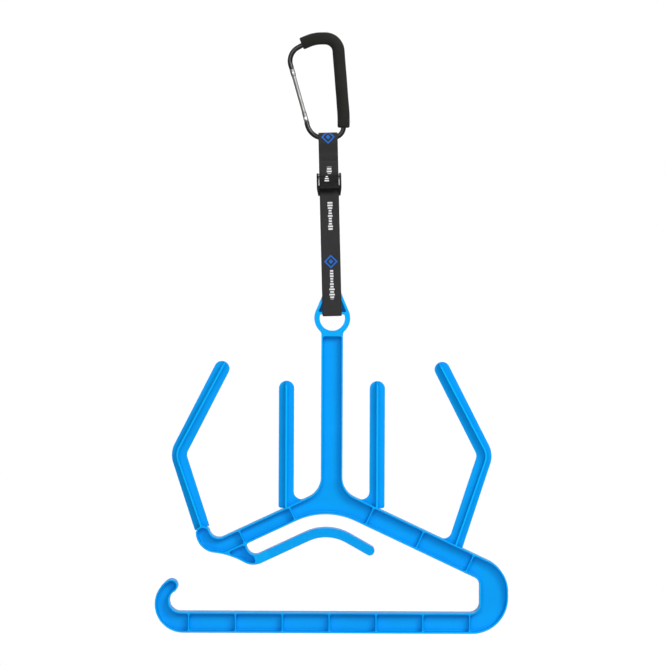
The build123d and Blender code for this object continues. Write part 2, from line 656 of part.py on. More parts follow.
def buckle_lever():
    """Knurled cam between the cheeks, and the thumb plate that curves down in front of it."""
    teeth = 15
    cam = Circle(CAM_R)
    for k in range(teeth):
        cam -= Rot(0, 0, 360 / teeth * k) * Pos(CAM_R + 0.1, 0) * Circle(0.5)
    shoulder = (PIVOT[0] - CAM_R + 2.2, PIVOT[1], 2.2)
    thumb = side_view(hull_of(shoulder, LEVER_WAIST), LEVER_W)
    thumb += side_view(hull_of(LEVER_WAIST, LEVER_LIP, LEVER_HEEL), LEVER_W)
    thumb = fillet(thumb.edges().filter_by(lambda e: abs(abs(e.center().X) - LEVER_W / 2) < 1e-4), 0.5)
    lever = side_view(Pos(*PIVOT) * cam, LEVER_W) + thumb
    lever -= side_view(Pos(*PIVOT) * Circle(PIN_R + 0.1), BUCKLE_W)
    return lean(lever - side_view(Pos(*PIVOT) * Circle(CAM_R - 0.6), SPRING_GAP))


def buckle_spring():
    """Coil round the pin, in the middle of the cam."""
    coil = Helix(pitch=0.9, height=5.4, radius=2.4)
    wire = sweep(Plane(origin=coil @ 0, z_dir=coil % 0) * Circle(0.3), path=coil, is_frenet=True)
    return lean(Pos(-2.7, *PIVOT) * Rot(0, 90, 0) * wire)


# ---------------------------------------------------------------- all nodes
def export_all():
    whole = moulding()
    for name, region in sections().items():
        node(name, stand(whole & extrude(region, DEPTH, both=True)))
    node("peg_inner_left", inner_peg(-1))
    node("peg_inner_right", inner_peg(1))
    node("peg_outer_left", outer_peg_left())
    node("peg_outer_right", outer_peg_right())

    node("carabiner_body", carabiner_body())
    node("carabiner_sleeve", carabiner_sleeve())
    node("carabiner_gate", gate())
    node("gate_spring", gate_spring())
    node("gate_follower", gate_follower())
    node("gate_latch_pin", gate_place() * across(0, GATE_LEN - LATCH_DROP, LATCH_R, 2 * HEAD_R - 0.4))
    rivet = across(0, 0, RIVET_R, 2 * FOOT_R + 0.4)
    heads = [across(0, 0, 1.7, 0.5, side * (FOOT_R + 0.35)) for side in (1, -1)]
    node("gate_rivet", gate_place() * (rivet + heads))

    node("strap_webbing", strap_webbing())
    node("strap_stitching", strap_stitching())
    node("buckle_body", buckle_body())
    node("buckle_bar", buckle_bar())
    node("buckle_pin", buckle_pin())
    node("buckle_lever", buckle_lever())
    node("buckle_spring", buckle_spring())


export_all()
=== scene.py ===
"""Looks of the wetsuit hanger: its plastic, webbing, foam sleeve, thread and metal, and the studio."""
import math
import random

import bpy
from mathutils import Matrix, Vector, noise


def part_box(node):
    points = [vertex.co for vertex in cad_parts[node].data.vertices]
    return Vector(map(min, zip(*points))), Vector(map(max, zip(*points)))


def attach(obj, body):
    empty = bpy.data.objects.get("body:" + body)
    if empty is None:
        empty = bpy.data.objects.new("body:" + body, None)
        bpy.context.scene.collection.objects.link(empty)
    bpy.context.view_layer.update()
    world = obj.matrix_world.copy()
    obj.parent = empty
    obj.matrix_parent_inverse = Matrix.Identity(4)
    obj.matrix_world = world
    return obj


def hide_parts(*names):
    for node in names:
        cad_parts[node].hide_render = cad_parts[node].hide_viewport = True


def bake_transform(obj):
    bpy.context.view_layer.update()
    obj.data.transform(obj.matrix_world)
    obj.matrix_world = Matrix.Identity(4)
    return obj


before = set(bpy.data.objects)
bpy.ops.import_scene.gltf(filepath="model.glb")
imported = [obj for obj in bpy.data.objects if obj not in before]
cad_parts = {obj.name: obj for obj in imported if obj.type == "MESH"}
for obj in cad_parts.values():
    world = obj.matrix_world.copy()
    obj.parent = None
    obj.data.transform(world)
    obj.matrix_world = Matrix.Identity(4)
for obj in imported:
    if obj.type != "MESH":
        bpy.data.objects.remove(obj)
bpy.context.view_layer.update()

MM = 0.001
random.seed(7)

# ---------------------------------------------------------------- colours, linear RGB
BLUE = (0.0, 0.337, 0.84)
BLUE_DEEP = (0.0, 0.310, 0.79)
BLUE_LIGHT = (0.0, 0.365, 0.88)
# colour of the painted highlight on the crests of ribs, rims and fins
BLUE_PAINTED_HIGHLIGHT = (0.0, 0.46, 0.98)
BLUE_RUBBED = (0.07, 0.47, 0.95)
# darkest webbing tone: partly random fibre tone, partly painted shade in the weave's gaps
WEB_DEEP_AND_GAP_SHADE = (0.009, 0.009, 0.010)
WEB_BLACK = (0.022, 0.021, 0.023)
WEB_WORN = (0.050, 0.048, 0.050)
WEB_EDGE = (0.014, 0.013, 0.015)
PRINT_WHITE = (0.80, 0.81, 0.82)
PRINT_BLUE = (0.01, 0.16, 0.62)
FOAM_TONES = (0.006, 0.006, 0.006), (0.013, 0.013, 0.012), (0.024, 0.023, 0.021)
ROD_TONES = (0.005, 0.005, 0.005), (0.010, 0.009, 0.009)
ROD_RUBBED = (0.12, 0.11, 0.10)
GATE_TONES = (0.22, 0.215, 0.21), (0.32, 0.31, 0.30)
STEEL_TONES = (0.46, 0.46, 0.47), (0.66, 0.66, 0.66)
BUCKLE_TONES = (0.002, 0.002, 0.003), (0.006, 0.006, 0.006)
THREAD_TONES = (0.008, 0.008, 0.009), (0.040, 0.039, 0.042)

# ---------------------------------------------------------------- sizes of the surface detail
HALF_DEPTH = 0.0110             # of the moulding, in metres
RIM_DEPTH = 0.0100              # its rims start at this distance from its middle
PEG_CREST = 0.0100              # front edge of the pegs' fins
PAINTED_HIGHLIGHT_BAND = 0.0006             # width of the painted highlight band at a crest
WEFT, WARP = 0.95, 1.25         # the weave's pitch across and along the webbing, in mm
SELVEDGE = (10.9, 11.4)         # the webbing darkens between these distances from its middle
BAR_U = 0.6                     # the white bars' middle, across the webbing
BAR_PITCH = 3.4
BAR_REACH = (1.7, 3.6)          # half lengths of the shortest and the longest bar
BAR_FILL = (0.18, 0.82)         # share of each pitch that the bar takes up
DIAMOND_LINE = (6.4, 8.8)       # inner and outer half width of a diamond's outline
DIAMOND_DOT = 3.0               # half width of the small diamond inside it
LEVER_MARK_X = 0.0066           # the lever's bars, in metres: middle, then (height, half length)
LEVER_BARS = [(-0.1725, 0.0014), (-0.1752, 0.0025), (-0.1779, 0.0029)]
LEVER_BAR_HALF = 0.00075        # half the thickness of one bar
LEVER_FACE = (-0.0140, -0.0145)  # the bars show only in front of this depth
LEVER_SOFT = 0.0001
GATE_LINES = (140.0, 140.0, 60.0)       # fineness of the metal's lines along each axis
SHORT_LINES = (120.0, 900.0, 900.0)
SCREEN_LEVELS = (0.53, 1.53)    # darkest and brightest grain; their mean is just over white


# ---------------------------------------------------------------- shader helpers
class Shader:
    """A material's node tree, with short names for the nodes that the surfaces here need."""

    def __init__(self, name, **sockets):
        self.material = bpy.data.materials.new(name)
        self.material.use_nodes = True
        self.tree = self.material.node_tree
        self.surface = self.tree.nodes["Principled BSDF"]
        for socket, value in sockets.items():
            self.surface.inputs[socket.replace("_", " ")].default_value = value

    def node(self, kind, inputs=None, **settings):
        made = self.tree.nodes.new(kind)
        for key, value in settings.items():
            setattr(made, key, value)
        for key, value in (inputs or {}).items():
            self.feed(made.inputs[key], value)
        return made

    def feed(self, socket, value):
        if isinstance(value, bpy.types.NodeSocket):
            self.tree.links.new(value, socket)
        else:
            socket.default_value = value

    def math(self, operation, a, b=0.0, clamp=False):
        made = self.node("ShaderNodeMath", {0: a, 1: b}, operation=operation, use_clamp=clamp)
        return made.outputs[0]

    def total(self, values):
        """Sum of several values."""
        summed = values[0]
        for value in values[1:]:
            summed = self.math("ADD", summed, value)
        return summed

    def weigh(self, *pairs):
        """Sum of several values, each given with its weight."""
        return self.total([self.math("MULTIPLY", value, weight) for value, weight in pairs])

    def where(self, kind):
        """Object coordinates are the part's own frame; UV, on the webbing, is millimetres."""
        return self.node("ShaderNodeTexCoord").outputs[kind]

    def split(self, vector):
        return self.node("ShaderNodeSeparateXYZ", {0: vector}).outputs

    def noise(self, vector, scale, detail=4.0, rough=0.55):
        made = self.node("ShaderNodeTexNoise", {
            "Vector": vector, "Scale": scale, "Detail": detail, "Roughness": rough})
        return made.outputs["Fac"]

    def stretch(self, vector, scale):
        """Coordinates scaled apart along each axis."""
        return self.node("ShaderNodeMapping", {"Vector": vector, "Scale": scale}).outputs[0]

    def span(self, value, low, high, new_low=0.0, new_high=1.0):
        """A value carried from one range to another, and held at the ends."""
        made = self.node("ShaderNodeMapRange", {
            "Value": value, "From Min": low, "From Max": high, "To Min": new_low, "To Max": new_high})
        return made.outputs["Result"]

    def ramp(self, value, *stops):
        made = self.node("ShaderNodeValToRGB", {0: value})
        elements = made.color_ramp.elements
        while len(elements) < len(stops):
            elements.new(0.5)
        for element, (place, colour) in zip(elements, stops):
            element.position = place
            element.color = (*colour, 1.0)
        return made.outputs["Color"]

    def mix(self, amount, a, b):
        made = self.node("ShaderNodeMix", data_type="RGBA")
        self.feed(made.inputs["Factor"], amount)
        for key, value in (("A", a), ("B", b)):
            socket = [s for s in made.inputs if s.name == key and s.type == "RGBA"][0]
            self.feed(socket, value if isinstance(value, bpy.types.NodeSocket) else (*value, 1.0))
        return [s for s in made.outputs if s.type == "RGBA"][0]

    def bump(self, height, distance, strength=1.0, below=None):
        inputs = {"Height": height, "Distance": distance, "Strength": strength}
        if below is not None:
            inputs["Normal"] = below
        return self.node("ShaderNodeBump", inputs).outputs["Normal"]

    def finish(self, colour=None, roughness=None, normal=None):
        for key, value in (("Base Color", colour), ("Roughness", roughness), ("Normal", normal)):
            if value is not None:
                self.feed(self.surface.inputs[key], value)
        return self.material


# ---------------------------------------------------------------- materials
def hanger_plastic(name, highlight_strength, highlight_depth):
    """Satin moulded polypropylene: faint flow marks, fine skin texture, a painted highlight on the crests,
    rubbed rims.
    """
    s = Shader(name, Specular_IOR_Level=0.07, IOR=1.49)
    place = s.where("Object")
    flow = s.noise(s.stretch(place, (9.0, 9.0, 26.0)), scale=1.0, detail=5.0)
    clouds = s.noise(place, scale=14.0, detail=3.0)
    tone = s.weigh((flow, 0.6), (clouds, 0.4))
    colour = s.ramp(tone, (0.30, BLUE_DEEP), (0.52, BLUE), (0.72, BLUE_LIGHT))
    depth = s.math("ABSOLUTE", s.split(place)[1])
    rim = s.span(depth, RIM_DEPTH, HALF_DEPTH)
    scuffs = s.span(s.noise(place, scale=260.0, detail=6.0, rough=0.7), 0.56, 0.70)
    rubbed = s.math("MULTIPLY", s.math("MULTIPLY", rim, scuffs), 0.35)
    # painted highlight: faces at the crest depth are lightened towards a paler blue
    painted_highlight = s.span(depth, highlight_depth - PAINTED_HIGHLIGHT_BAND, highlight_depth)
    colour = s.mix(s.math("MULTIPLY", painted_highlight, highlight_strength), colour, BLUE_PAINTED_HIGHLIGHT)
    colour = s.mix(rubbed, colour, BLUE_RUBBED)
    fine = s.noise(place, scale=1500.0, detail=3.0)
    mottle = s.noise(place, scale=90.0, detail=4.0)
    roughness = s.span(s.math("ADD", mottle, rubbed), 0.25, 1.0, 0.30, 0.46)
    normal = s.bump(mottle, distance=0.00012, strength=0.5)
    return s.finish(colour, roughness, s.bump(fine, distance=0.00002, strength=0.6, below=normal))


def woven(s, place):
    """Height of a narrow woven tape: ribs across, each broken by the crossing yarn."""
    u, v = s.split(place)[0], s.split(place)[1]
    across = s.math("ABSOLUTE", s.math("SINE", s.math("MULTIPLY", u, math.pi / WEFT)))
    along = s.math("ABSOLUTE", s.math("SINE", s.math("MULTIPLY", v, math.pi / WARP)))
    cells = s.stretch(place, (1 / WEFT, 1 / WARP, 1.0))
    check = s.node("ShaderNodeTexChecker", {"Vector": cells, "Scale": 1.0}).outputs["Fac"]
    over = s.math("MULTIPLY", across, check)
    under = s.math("MULTIPLY", along, s.math("SUBTRACT", 1.0, check))
    return s.math("ADD", over, under)


def webbing(name, bar_stretches=(), diamond_places=()):
    """Black polyester webbing, with painted shade in the weave's gaps; a printed face carries plain bars
    and diamond outlines.
    """
    s = Shader(name, Specular_IOR_Level=0.2, Sheen_Weight=0.16, Sheen_Roughness=0.45)
    place = s.where("UV")
    weave = woven(s, place)
    fibre = s.noise(s.stretch(place, (9.0, 1.6, 1.0)), scale=1.0, detail=5.0, rough=0.65)
    worn = s.noise(place, scale=0.06, detail=3.0)
    # the weave's share of the tone is painted shade: the gaps between its ribs come out darker
    tone = s.weigh((weave, 0.45), (fibre, 0.35), (worn, 0.20))
    colour = s.ramp(tone, (0.12, WEB_DEEP_AND_GAP_SHADE), (0.50, WEB_BLACK), (0.85, WEB_WORN))
    edge = s.span(s.math("ABSOLUTE", s.split(place)[0]), *SELVEDGE)
    colour = s.mix(s.math("MULTIPLY", edge, 0.5), colour, WEB_EDGE)
    height = s.math("ADD", weave, s.math("MULTIPLY", fibre, 0.3))
    roughness = s.span(tone, 0.1, 0.9, 0.62, 0.86)
    if bar_stretches:
        ink = s.span(fibre, 0.30, 0.46, 0.72, 1.0)
        white = s.math("MULTIPLY", bars(s, place, bar_stretches), ink)
        blue = s.math("MULTIPLY", diamonds(s, place, diamond_places), ink)
        colour = s.mix(white, colour, PRINT_WHITE)
        colour = s.mix(blue, colour, PRINT_BLUE)
        height = s.math("ADD", height, s.math("MULTIPLY", s.math("ADD", white, blue), 0.35))
    return s.finish(colour, roughness, s.bump(height, distance=0.00022, strength=0.9))


def inside(s, value, low, high, soft=0.12):
    """1 between two limits, 0 outside them."""
    rise = s.span(value, low - soft, low + soft)
    return s.math("MULTIPLY", rise, s.span(value, high - soft, high + soft, 1.0, 0.0))


def bars(s, place, stretches):
    """A column of short bars of uneven length along each of the stretches."""
    u, v = s.split(place)[0], s.split(place)[1]
    step = s.math("FLOOR", s.math("DIVIDE", v, BAR_PITCH))
    phase = s.math("FRACT", s.math("DIVIDE", v, BAR_PITCH))
    chance = s.node("ShaderNodeTexWhiteNoise", {"W": step}, noise_dimensions="1D").outputs["Value"]
    reach = s.span(chance, 0.0, 1.0, *BAR_REACH)
    off = s.math("ABSOLUTE", s.math("SUBTRACT", u, BAR_U))
    across = s.span(s.math("SUBTRACT", reach, off), -0.12, 0.12)
    bar = s.math("MULTIPLY", across, inside(s, phase, *BAR_FILL, soft=0.05))
    return s.total([s.math("MULTIPLY", bar, inside(s, v, low, high)) for low, high in stretches])


def diamonds(s, place, centres):
    """Diamond outlines at the given places, each with a small diamond inside it."""
    u, v = s.split(place)[0], s.split(place)[1]
    shapes = []
    for centre in centres:
        aside = s.math("ABSOLUTE", u)
        ahead = s.math("ABSOLUTE", s.math("SUBTRACT", v, centre))
        away = s.math("ADD", aside, ahead)
        dot = inside(s, away, -1.0, DIAMOND_DOT)
        shapes.append(s.math("ADD", inside(s, away, *DIAMOND_LINE), dot, clamp=True))
    return s.total(shapes)


def foam():
    """Closed-cell foam: matt, with fine pores and slight handling marks."""
    s = Shader("sleeve_foam", Specular_IOR_Level=0.15, Sheen_Weight=0.06, Sheen_Roughness=0.6)
    place = s.where("Object")
    pores = s.node("ShaderNodeTexVoronoi", {"Vector": place, "Scale": 1500.0}).outputs["Distance"]
    pits = s.span(pores, 0.05, 0.55)
    cloud = s.noise(place, scale=60.0, detail=5.0)
    tone = s.weigh((pits, 0.4), (cloud, 0.6))
    colour = s.ramp(tone, *zip((0.25, 0.60, 0.9), FOAM_TONES))
    height = s.weigh((pits, 0.6), (cloud, 0.8))
    roughness = s.span(tone, 0.2, 0.9, 0.78, 0.93)
    return s.finish(colour, roughness, s.bump(height, distance=0.0002, strength=0.8))


def anodised():
    """Black anodised rod with a soft gloss and a few bright rub marks."""
    s = Shader("carabiner_metal", Specular_IOR_Level=0.45)
    place = s.where("Object")
    cloud = s.noise(place, scale=120.0, detail=5.0)
    marks = s.noise(s.stretch(place, (400.0, 400.0, 90.0)), scale=1.0, detail=6.0, rough=0.7)
    rubs = s.span(marks, 0.66, 0.74)
    colour = s.ramp(cloud, *zip((0.3, 0.7), ROD_TONES))
    colour = s.mix(s.math("MULTIPLY", rubs, 0.30), colour, ROD_RUBBED)
    roughness = s.span(cloud, 0.3, 0.7, 0.13, 0.22)
    return s.finish(colour, roughness, s.bump(cloud, distance=0.00004, strength=0.5))


def bright_metal(name, tones, smooth, rough, along):
    """Polished or drawn metal, with fine lines along its length."""
    s = Shader(name, Metallic=1.0)
    place = s.where("Object")
    lines = s.noise(s.stretch(place, along), scale=1.0, detail=6.0, rough=0.7)
    smudge = s.noise(place, scale=180.0, detail=4.0)
    colour = s.ramp(lines, *zip((0.3, 0.7), tones))
    roughness = s.span(s.math("ADD", lines, smudge), 0.7, 1.3, smooth, rough)
    return s.finish(colour, roughness, s.bump(lines, distance=0.00002, strength=0.7))


def buckle_plastic(name, marked=False):
    """Black glass-filled nylon with a fine spark-eroded grain, with the lever's bars where it is marked."""
    s = Shader(name, Specular_IOR_Level=0.22)
    place = s.where("Object")
    grain = s.node("ShaderNodeTexVoronoi", {"Vector": place, "Scale": 2600.0}).outputs["Distance"]
    cloud = s.noise(place, scale=160.0, detail=5.0)
    colour = s.ramp(cloud, *zip((0.3, 0.7), BUCKLE_TONES))
    height = s.math("ADD", grain, s.math("MULTIPLY", cloud, 0.5))
    if marked:
        colour = s.mix(lever_mark(s, place), colour, PRINT_WHITE)
    roughness = s.span(cloud, 0.3, 0.7, 0.36, 0.52)
    return s.finish(colour, roughness, s.bump(height, distance=0.00006, strength=0.7))


def lever_mark(s, place):
    """Three short bars on the lever's face, of uneven length."""
    x, y, z = s.split(place)
    marks = []
    for height, half in LEVER_BARS:
        across = inside(s, x, LEVER_MARK_X - half, LEVER_MARK_X + half, LEVER_SOFT)
        upward = inside(s, z, height - LEVER_BAR_HALF, height + LEVER_BAR_HALF, LEVER_SOFT)
        marks.append(s.math("MULTIPLY", across, upward))
    return s.math("MULTIPLY", s.total(marks), s.span(y, *LEVER_FACE))


def thread():
    """Twisted bonded thread."""
    s = Shader("thread", Specular_IOR_Level=0.35, Sheen_Weight=0.2)
    wave = {"Vector": s.where("Object"), "Scale": 700.0, "Distortion": 0.6}
    twist = s.node("ShaderNodeTexWave", wave).outputs["Fac"]
    colour = s.ramp(twist, *zip((0.1, 0.9), THREAD_TONES))
    roughness = s.span(twist, 0.0, 1.0, 0.5, 0.7)
    return s.finish(colour, roughness, s.bump(twist, distance=0.00008, strength=0.8))


def screen_light():
    """White screen lit from within; its fine grain averages to white and keeps edges against it smooth."""
    s = Shader("studio_screen", Specular_IOR_Level=0.0)
    s.surface.inputs["Emission Color"].default_value = (1, 1, 1, 1)
    grain = s.node("ShaderNodeTexWhiteNoise", {"Vector": s.where("Object")}).outputs["Value"]
    s.feed(s.surface.inputs["Emission Strength"], s.span(grain, 0.0, 1.0, *SCREEN_LEVELS))
    s.material.cycles.emission_sampling = "NONE"
    return s.finish((0.0, 0.0, 0.0, 1.0))


# ---------------------------------------------------------------- mesh helpers
LONG_RUN, ARC_RUN = 2.0, 0.5    # longest run between two points of a path, on a straight and on an arc
TURN = 0.2                      # the most that a path turns at one of its points, in radians
SAME_POINT = 1e-4               # points nearer than this are one point


def bend(before, here, after, radius):
    """Points of the tangent arc that rounds one corner of a path."""
    back, ahead = (before - here).normalized(), (after - here).normalized()
    half = back.angle(ahead) / 2
    reach = radius / math.tan(half)
    centre = here + (back + ahead).normalized() * radius / math.sin(half)
    first, last = here + back * reach, here + ahead * reach
    sweep = math.pi - 2 * half
    turn = 1 if (first - centre).cross(last - centre) > 0 else -1
    count = max(2, math.ceil(sweep * radius / ARC_RUN), math.ceil(sweep / TURN))
    points = []
    for k in range(count + 1):
        spoke = (first - centre).copy()
        spoke.rotate(Matrix.Rotation(turn * sweep * k / count, 2))
        points.append(centre + spoke)
    return points


def rounded_path(corners):
    """Points along a bent line, in mm: corners are (a, b, radius), with tangent arcs at the bends."""
    spots = [Vector(corner[:2]) for corner in corners]
    marks = [spots[0]]
    for before, here, after, corner in zip(spots, spots[1:], spots[2:], corners[1:]):
        marks += bend(before, here, after, corner[2])
    marks.append(spots[-1])
    points = [marks[0]]
    for mark in marks[1:]:
        start = points[-1]
        gap = (mark - start).length
        if gap < SAME_POINT:
            continue
        pieces = max(1, math.ceil(gap / LONG_RUN))
        points += [start.lerp(mark, (k + 1) / pieces) for k in range(pieces)]
    return points


def tangents(points):
    """Unit direction of the line at each of its points."""
    last = len(points) - 1
    return [(points[min(k + 1, last)] - points[max(k - 1, 0)]).normalized() for k in range(last + 1)]


def run_lengths(points):
    """Length of the line from its start to each of its points."""
    lengths = [0.0]
    for a, b in zip(points, points[1:]):
        lengths.append(lengths[-1] + (b - a).length)
    return lengths


def new_piece(name, vertices, faces, *materials, smooth=True):
    mesh = bpy.data.meshes.new(name)
    mesh.from_pydata(vertices, [], faces)
    mesh.polygons.foreach_set("use_smooth", [smooth] * len(mesh.polygons))
    for material in materials:
        mesh.materials.append(material)
    mesh.update()
    piece = bpy.data.objects.new(name, mesh)
    bpy.context.scene.collection.objects.link(piece)
    return piece


def skin(rings, first=0):
    """Vertices and faces of a closed skin through rings of points, counted from the given vertex."""
    sides = len(rings[0])
    vertices = [point for ring in rings for point in ring]
    faces = []
    for k in range(len(rings) - 1):
        for j in range(sides):
            a, b = first + k * sides + j, first + k * sides + (j + 1) % sides
            faces.append((a, b, b + sides, a + sides))
    end = first + len(vertices)
    faces.append(tuple(reversed(range(first, first + sides))))
    faces.append(tuple(range(end - sides, end)))
    return vertices, faces


# ---------------------------------------------------------------- the strap
LEAN = math.radians(1.57)       # the strap's top leans to the left
WEB_W, WEB_T = 25.0, 1.6        # the webbing's width and thickness, in mm
web_low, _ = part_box("strap_webbing")
eye_low, eye_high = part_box("frame_eye")
FOOT = web_low.z / MM + WEB_T / 2 + WEB_W / 2 * math.sin(LEAN)   # centre of the webbing under the eye's bar
APEX = eye_high.z / MM + 2.0    # just above the eye's pointed top
STRAP_X = (eye_low.x + eye_high.x) / 2 / MM - 0.3
UNDER_BAR = FOOT + 1.45         # underside of the eye's flat bar
SIDE = 12.15                    # the plies beside the eye stand this far from mid depth
EYE_TURN = 1.6                  # radius of the webbing's line under the eye's bar
BAR_TURN = 3.4                  # and round the buckle's bar
PLY = WEB_T + 0.1               # one ply and the gap beside it
FOLD_R, FOLD_TOP, FOLD_FOOT = 6.2, -114.7, -128.0       # loop round the carabiner, and where it closes
SEWN = (-138.5, -152.5)         # the three plies are sewn together between these heights
GRIP_Y = -8.6                   # depth of the webbing on the buckle's base plate
GRIP = (-196, -183)             # it lies there between these heights
TAIL = (-173, -151.8)           # its free tail
TAIL_FRONT = 5.4                # the tail stands this far in front of the buckle's bar
LOOP_BACK, LOOP_FRONT = 8.4, 4.4        # bends of the loop round that bar, above it
RIPPLE = 0.10                   # the webbing wanders to the side by up to this
SECTION_STEPS = 18              # points across the webbing
SELVEDGE_POWER = 14             # how squarely the webbing's edges are rounded

STITCH_ROWS = (-142.5, -148.5)
STITCHES, STITCH_PITCH, STITCH_LENGTH = 8, 3, 2.3
FIRST_STITCH = -10.5
FACE_Y = 2.5                    # front and back of the three plies, from mid depth
THREAD_R = 0.28
THREAD_SIDES, THREAD_STEPS = 8, 8
THREAD_LIFT, THREAD_SUNK = 0.24, 0.22   # rise of a stitch's middle, and depth of its ends in the webbing
UNEVEN = 0.12                   # the most that a stitch is out of line


def upright(point):
    """A point of the part in the strap's own upright drawing, in mm, with the bar's underside at 0."""
    back = Matrix.Rotation(LEAN, 3, "Y")
    return back @ (Vector(point) / MM - Vector((STRAP_X, 0, UNDER_BAR)))


def leaned(x, y, z):
    """From the upright drawing in mm, where heights are the part's own, to the part, in metres."""
    turn = Matrix.Rotation(-LEAN, 3, "Y")
    return (turn @ Vector((x, y, z - UNDER_BAR)) + Vector((STRAP_X, 0, UNDER_BAR))) * MM


def middle(node):
    low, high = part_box(node)
    return (low + high) / 2


def strap_path():
    """The webbing's line in side view, from its sewn end to its free tail."""
    bar = upright(middle("buckle_bar"))
    bar_y, bar_z = bar.y, bar.z + UNDER_BAR
    tail_y = bar_y - TAIL_FRONT
    sewn_top, sewn_foot = SEWN
    behind_bar = [
        (0, sewn_top, 0), (0, sewn_foot, 14), (bar_y + BAR_TURN, bar_z + LOOP_BACK, 14),
        (bar_y + BAR_TURN, bar_z - BAR_TURN, BAR_TURN), (bar_y - BAR_TURN, bar_z - BAR_TURN, BAR_TURN),
        (bar_y - BAR_TURN, bar_z + LOOP_FRONT, 5), (-PLY, sewn_foot, 12), (-PLY, sewn_top, 12)]
    round_rod = [
        (-FOLD_R, FOLD_FOOT, 6), (-FOLD_R, FOLD_TOP, FOLD_R), (FOLD_R, FOLD_TOP, FOLD_R),
        (FOLD_R, FOLD_FOOT, 6), (PLY, sewn_top, 12), (PLY, sewn_foot, 60)]
    round_eye = [(SIDE, APEX, 60), (SIDE, FOOT, EYE_TURN), (-SIDE, FOOT, EYE_TURN), (-SIDE, APEX, 60)]
    through_buckle = [
        (GRIP_Y, GRIP[0], 20), (GRIP_Y, GRIP[1], 12), (tail_y, TAIL[0], 10), (tail_y, TAIL[1], 0)]
    return rounded_path(behind_bar + round_rod + round_eye + through_buckle)


def section():
    """Outline of the webbing's cross-section, rounded at its selvedges: (across, height) in mm."""
    top = []
    for k in range(SECTION_STEPS + 1):
        u = -math.cos(math.pi * k / SECTION_STEPS)
        top.append((u * WEB_W / 2, WEB_T / 2 * (1 - abs(u) ** SELVEDGE_POWER) ** 0.5))
    return top + [(u, -h) for u, h in reversed(top[1:-1])]


def strap_band(points, lengths, plain, printed):
    """The woven band itself, printed on one face, with its width and length in millimetres as UV."""
    outline = section()
    rings = []
    for p, t, run in zip(points, tangents(points), lengths):
        normal = Vector((-t.y, t.x))
        ripple = RIPPLE * noise.noise(Vector((run * 0.035, 3.7, 0.0)))
        rings.append([leaned(u + ripple, *(p + normal * h)) for u, h in outline])
    made = new_piece("strap_band", *skin(rings), plain, printed)
    uv = made.data.uv_layers.new(name="mm")
    sides = len(outline)
    for face in made.data.polygons:
        for loop in face.loop_indices:
            corner = made.data.loops[loop].vertex_index
            uv.data[loop].uv = (outline[corner % sides][0], lengths[corner // sides])
        heights = [outline[c % sides][1] for c in face.vertices]
        face.material_index = 1 if min(heights) >= 0 and len(heights) == 4 else 0
    return made


route = strap_path()
along = run_lengths(route)
total = along[-1]


def run_at(height, on_stretch):
    """Length along the strap where the chosen stretch of it passes a height."""
    on_it = [k for k in range(len(route)) if on_stretch(route[k], along[k])]
    return along[min(on_it, key=lambda k: abs(route[k].y - height))]


def lower_front(point, run):
    """On the front ply, from the eye up through the buckle to the tail."""
    return run > total / 2 and point.x < -6


def upper_front(point, run):
    """On the front of the loop round the carabiner."""
    return run < total / 4 and point.x < -3


# heights between which the front ply carries bars; the last pair is on the tail
BAR_HEIGHTS = [(-331.5, -292.0), (-243.0, -203.5), (-168.0, -160.0)]
bar_stretches = [(run_at(low, lower_front), run_at(high, lower_front)) for low, high in BAR_HEIGHTS]
diamond_places = [run_at(-281.5, lower_front), run_at(-120.5, upper_front)]

band = strap_band(
    route, along, webbing("webbing_plain"), webbing("webbing_printed", bar_stretches, diamond_places))
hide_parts("strap_webbing")
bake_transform(band)


def stitch(x, face_y, z, drop):
    """Rings of one stitch, which rises out of the webbing and sinks back into it."""
    out = -1 if face_y < 0 else 1
    rings = []
    for step in range(THREAD_STEPS + 1):
        t = step / THREAD_STEPS
        lift = math.sin(math.pi * t) ** 0.5 * THREAD_LIFT - THREAD_SUNK
        centre = Vector((x + (t - 0.5) * STITCH_LENGTH, face_y + out * lift, z + drop * (t - 0.5)))
        r = THREAD_R * (0.75 + 0.25 * math.sin(math.pi * t))
        angles = [2 * math.pi * j / THREAD_SIDES for j in range(THREAD_SIDES)]
        rings.append([leaned(*(centre + Vector((0, r * math.cos(a), r * math.sin(a))))) for a in angles])
    return rings


def stitches():
    """Two rows of stitches, seen on the front and back of the three sewn plies."""
    vertices, faces = [], []
    for face_y in (-FACE_Y, FACE_Y):
        for z in STITCH_ROWS:
            for k in range(STITCHES):
                x = FIRST_STITCH + STITCH_PITCH * k + random.uniform(-UNEVEN, UNEVEN)
                drop = random.uniform(-UNEVEN, UNEVEN)
                more_vertices, more_faces = skin(stitch(x, face_y, z, drop), len(vertices))
                vertices += more_vertices
                faces += more_faces
    piece = new_piece("strap_stitches", vertices, faces, thread())
    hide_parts("strap_stitching")
    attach(piece, "strap")


stitches()


# ---------------------------------------------------------------- the foam sleeve
SLEEVE_LINE = [                 # middle of the rod inside it, in mm: x, height, radius of the bend
    (-27.0, 1.1, 0), (-10.0, 8.3, 50), (19.7, 8.3, 17.5), (28.1, -92.0, 200), (28.1, -107.5, 0)]
SLEEVE_R, SLEEVE_BORE, SLEEVE_SIDES = 8.1, 3.0, 48
SLEEVE_END = [                  # rounding of its ends: distance from the end, radius
    (0.0, SLEEVE_BORE), (0.0, SLEEVE_R - 1.3), (0.25, SLEEVE_R - 0.6), (0.8, SLEEVE_R - 0.12),
    (1.6, SLEEVE_R)]
SLEEVE_CLEAR = 2.2              # the path's own points are used from here inwards
SAME_RUN = 1e-6
SKIN_WAVE, SKIN_SHRINK = 0.14, 0.10     # unevenness of its skin, and how far that is set inwards


